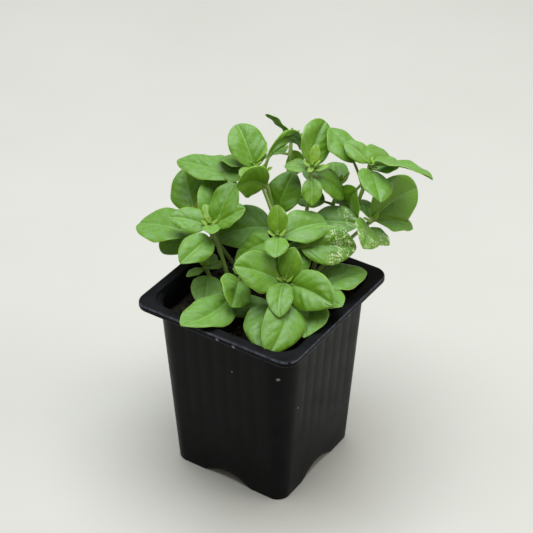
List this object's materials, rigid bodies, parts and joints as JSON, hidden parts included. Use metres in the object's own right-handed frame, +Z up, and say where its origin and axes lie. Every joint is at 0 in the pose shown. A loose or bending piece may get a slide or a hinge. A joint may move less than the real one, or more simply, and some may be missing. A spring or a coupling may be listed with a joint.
{
  "type": "potted greek basil",
  "caption": "Small basil plant with oval leaves in crossed pairs on upright stems, rooted in dark soil in a square tapered black plastic nursery pot with a flat rim and corner feet.",
  "frame": {"origin": "bottom centre of the whole object's box, on the surface that the pot stands on; the pot's own upright middle line is at x = +5.0 mm, y = -12.3 mm, because the plant leans to the back", "axes": "+Z up along the pot; +X and +Y square to the pot's flat sides; the picture looks from the side of +X and -Y, so the side that faces -Y is the wider one in view"},
  "size_m": [0.1298, 0.1272, 0.1678],
  "materials": {
    "pot": "moulded near-black polypropylene, soft satin",
    "soil": "damp peat-like potting soil, matte and crumbly",
    "foliage": "fresh green leaf, smooth with a soft sheen, paler veins and margins"
  },
  "bodies": {
    "root": {"pot": "pot", "soil": "soil", "stem_front": "foliage", "stem_centre": "foliage", "stem_left": "foliage", "stem_low_left": "foliage", "stem_front_left": "foliage", "stem_back_left": "foliage", "stem_top": "foliage", "stem_back": "foliage", "stem_back_right": "foliage", "stem_right": "foliage", "stem_front_right": "foliage", "stem_far_left": "foliage", "stem_far_back": "foliage", "stem_far_right": "foliage"}
  },
  "joints": []
}
